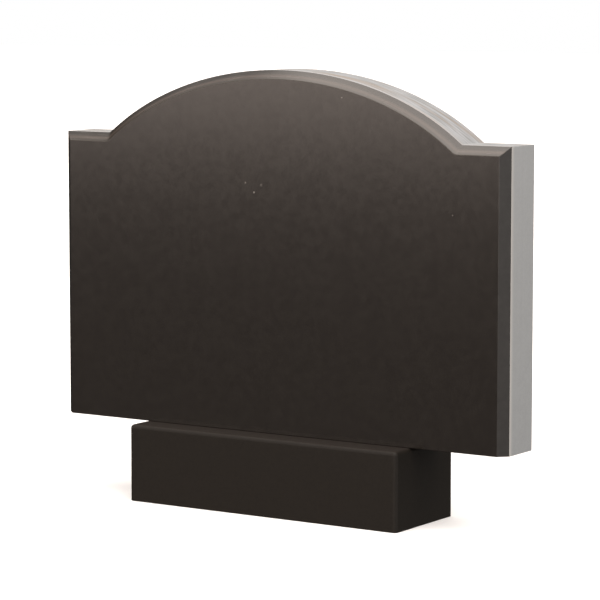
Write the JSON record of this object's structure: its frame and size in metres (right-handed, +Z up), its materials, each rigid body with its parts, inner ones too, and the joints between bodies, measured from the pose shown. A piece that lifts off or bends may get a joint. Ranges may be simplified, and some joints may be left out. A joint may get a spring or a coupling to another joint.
{
  "type": "headstone",
  "caption": "Wide upright headstone: dark stone tablet with flat shoulders, arched head and chamfered polished face, standing on a low narrower plinth.",
  "frame": {"origin": "centre of the plinth's underside, on the ground", "axes": "+Z up, +X along the headstone's width to the right as one faces it, +Y from the polished face to the back"},
  "size_m": [1, 0.205, 0.8383],
  "materials": {
    "tabletStone": "polished",
    "plinthStone": "honed"
  },
  "bodies": {
    "root": {"plinth": "plinthStone", "tablet": "tabletStone"}
  },
  "joints": []
}
